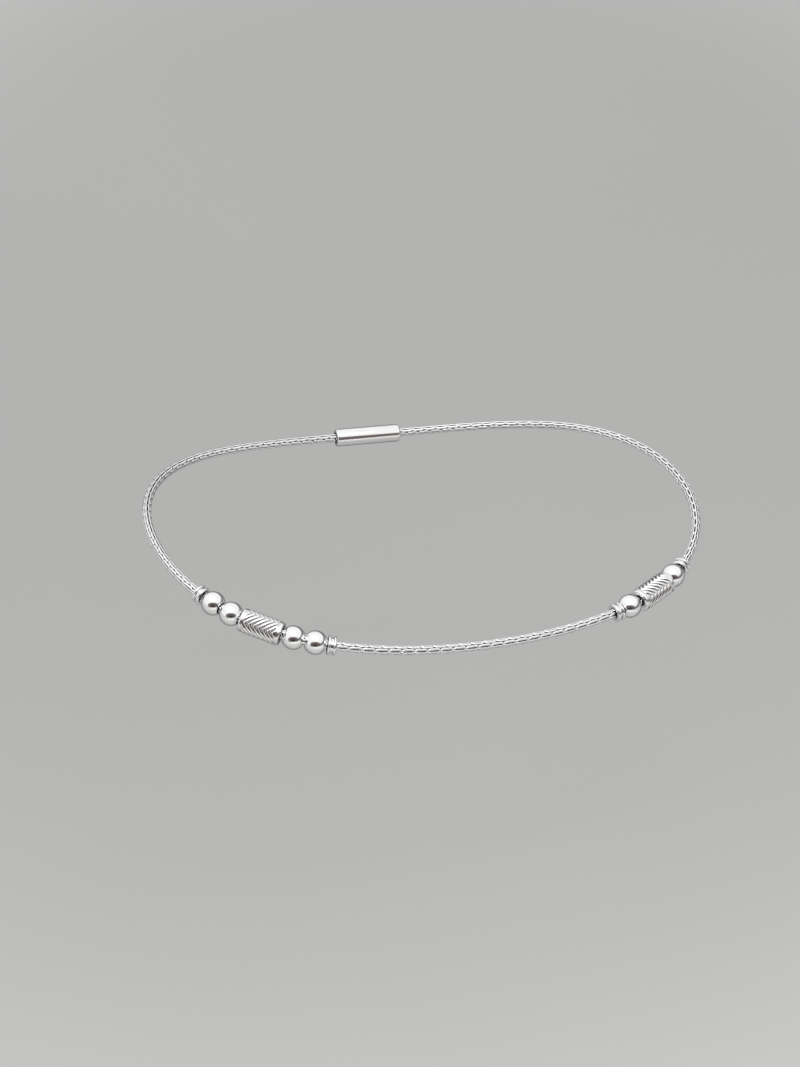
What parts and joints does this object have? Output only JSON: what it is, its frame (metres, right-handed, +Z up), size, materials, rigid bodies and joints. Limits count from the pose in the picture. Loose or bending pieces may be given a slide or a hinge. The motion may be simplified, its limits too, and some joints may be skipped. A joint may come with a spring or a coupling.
{
  "type": "anklet",
  "caption": "Round silver chain anklet strung with groups of plain balls, flanged stoppers and ridged barrel beads, closed by a plain barrel clasp.",
  "frame": {"origin": "middle of the ankle opening, on the loop's long middle line", "axes": "+Z up the leg, +X towards the heel, -Y towards the beaded front"},
  "size_m": [0.0979, 0.0691, 0.0127],
  "materials": {
    "chain_silver": "polished silver links",
    "clasp_silver": "polished silver",
    "ball_silver": "mirror polished silver",
    "spool_silver": "polished silver",
    "bead_silver": "bright cut silver"
  },
  "bodies": {
    "root": {"chain": "chain_silver", "clasp": "clasp_silver", "ball_1": "ball_silver", "ball_2": "ball_silver", "ball_3": "ball_silver", "ball_4": "ball_silver", "ball_5": "ball_silver", "ball_6": "ball_silver", "spool_1": "spool_silver", "spool_2": "spool_silver", "spool_3": "spool_silver", "spool_4": "spool_silver", "tube_bead_1": "bead_silver", "tube_bead_2": "bead_silver"}
  },
  "joints": []
}
